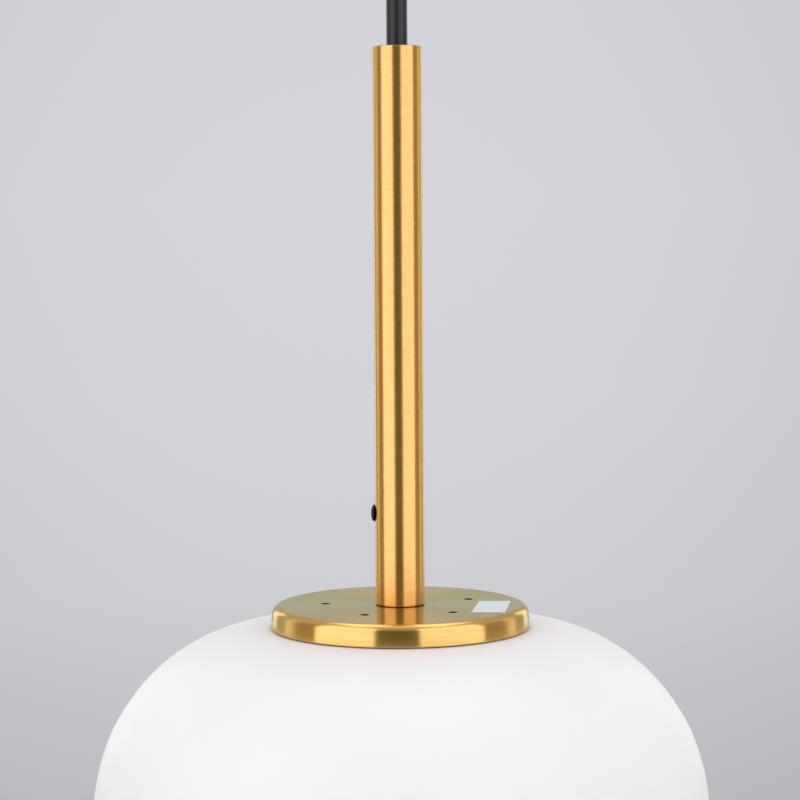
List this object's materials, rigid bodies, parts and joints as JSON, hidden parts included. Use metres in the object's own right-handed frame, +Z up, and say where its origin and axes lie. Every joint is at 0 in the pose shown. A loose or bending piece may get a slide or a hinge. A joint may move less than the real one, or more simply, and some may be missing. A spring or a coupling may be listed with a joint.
{
  "type": "pendant ceiling light",
  "caption": "Pendant light with a brass stem and flat disc cap over a wide opal glass shade, hung on a thick black cord from a brass ceiling cup.",
  "frame": {"origin": "middle of the mounting bracket's ceiling face, on the axis of the light", "axes": "+Z up, along the stem; the light hangs in -Z; -Y is the front; the stem's lock screw is on the left, at -X"},
  "size_m": [0.2508, 0.2508, 0.4696],
  "materials": {
    "satin_brass": "brushed satin brass, clear lacquered",
    "dark_screw": "blackened steel, slightly glossy",
    "zinc_steel": "zinc-plated steel",
    "nickel": "nickel plated",
    "contact_brass": "plain brass",
    "opal_glass": "opal white glass, satin outside",
    "cord_black": "smooth black PVC, satin",
    "rubber_black": "matt black rubber",
    "nylon_white": "white nylon, matt",
    "black_plastic": "black moulded plastic",
    "porcelain": "white glazed porcelain",
    "lamp_opal": "opal white plastic",
    "label_paper": "plain pale sticker",
    "wire_brown": "brown PVC insulation",
    "wire_blue": "blue PVC insulation",
    "wire_green": "green PVC insulation"
  },
  "bodies": {
    "ceiling_part": {"ceiling_bracket": "zinc_steel", "ceiling_cup": "satin_brass", "grip_body": "satin_brass", "grip_nut": "nickel", "grip_cap": "satin_brass", "grip_bush": "rubber_black", "cord_tail": "cord_black", "terminal_block": "nylon_white", "terminal_screw_1": "nickel", "terminal_screw_2": "nickel", "terminal_screw_3": "nickel", "terminal_screw_4": "nickel", "earth_washer": "contact_brass", "earth_screw": "contact_brass", "wire_live": "wire_brown", "wire_neutral": "wire_blue", "wire_earth": "wire_green"},
    "left_cup_screw": {"cup_screw_left": "satin_brass"},
    "right_cup_screw": {"cup_screw_right": "satin_brass"},
    "cord_knuckle": {"cord_bend": "cord_black"},
    "pendant": {"cord": "cord_black", "stem_bush": "black_plastic", "stem_tube": "satin_brass", "stem_plug": "satin_brass", "threaded_pipe": "contact_brass", "pipe_washer": "zinc_steel", "pipe_nut": "zinc_steel", "disc_cap": "satin_brass", "label": "label_paper", "clip_plate": "zinc_steel", "plate_screw_a": "satin_brass", "plate_screw_b": "satin_brass", "plate_screw_c": "satin_brass", "plate_screw_e": "satin_brass", "shade_gasket": "rubber_black", "holder_cap": "black_plastic", "holder_base": "porcelain", "holder_sleeve": "black_plastic", "thread_shell": "contact_brass", "centre_contact": "contact_brass", "lead_live": "wire_brown", "lead_neutral": "wire_blue"},
    "stem_lock_screw": {"lock_screw": "dark_screw"},
    "shade": {"glass_shade_upper": "opal_glass", "glass_shade_lower": "opal_glass"},
    "lamp": {"lamp_contact": "nickel", "lamp_insulator": "black_plastic", "lamp_cap": "nickel", "lamp_collar": "nylon_white", "lamp_envelope": "lamp_opal", "lamp_board": "nylon_white"},
    "clip_1": {"spring_clip_1": "zinc_steel", "clip_rivet_1": "zinc_steel"},
    "clip_2": {"spring_clip_2": "zinc_steel", "clip_rivet_2": "zinc_steel"},
    "clip_3": {"spring_clip_3": "zinc_steel", "clip_rivet_3": "zinc_steel"}
  },
  "joints": [
    {"name": "left_cup_screw_turn", "type": "hinge", "parent": "ceiling_part", "child": "left_cup_screw", "pos_m": [-0.05, 0, -0.0095], "axis": [-1, 0, 0], "continuous": true},
    {"name": "right_cup_screw_turn", "type": "hinge", "parent": "ceiling_part", "child": "right_cup_screw", "pos_m": [0.05, 0, -0.0095], "axis": [1, 0, 0], "continuous": true},
    {"name": "swing_fore_aft", "type": "hinge", "parent": "ceiling_part", "child": "cord_knuckle", "pos_m": [0, 0, -0.036], "axis": [1, 0, 0], "range_deg": [-12, 12]},
    {"name": "swing_side", "type": "hinge", "parent": "cord_knuckle", "child": "pendant", "pos_m": [0, 0, -0.036], "axis": [0, 1, 0], "range_deg": [-12, 12]},
    {"name": "lock_screw_turn", "type": "hinge", "parent": "pendant", "child": "stem_lock_screw", "pos_m": [-0.01188, 0.00167, -0.2893], "axis": [-0.9903, 0.1392, 0], "continuous": true},
    {"name": "shade_drop", "type": "slide", "parent": "pendant", "child": "shade", "axis": [0, 0, -1], "range_m": [0, 0.14]},
    {"name": "lamp_out", "type": "slide", "parent": "pendant", "child": "lamp", "axis": [0, 0, -1], "range_m": [0, 0.02]},
    {"name": "clip_1_flex", "type": "hinge", "parent": "pendant", "child": "clip_1", "pos_m": [0.01775, 0.01025, -0.3306], "axis": [-0.5, 0.866, 0], "range_deg": [0, 6], "stiffness_Nm_per_rad": 1.3},
    {"name": "clip_2_flex", "type": "hinge", "parent": "pendant", "child": "clip_2", "pos_m": [-0.01775, 0.01025, -0.3306], "axis": [-0.5, -0.866, 0], "range_deg": [0, 6], "stiffness_Nm_per_rad": 1.3},
    {"name": "clip_3_flex", "type": "hinge", "parent": "pendant", "child": "clip_3", "pos_m": [0, -0.0205, -0.3306], "axis": [1, 0, 0], "range_deg": [0, 6], "stiffness_Nm_per_rad": 1.3}
  ]
}
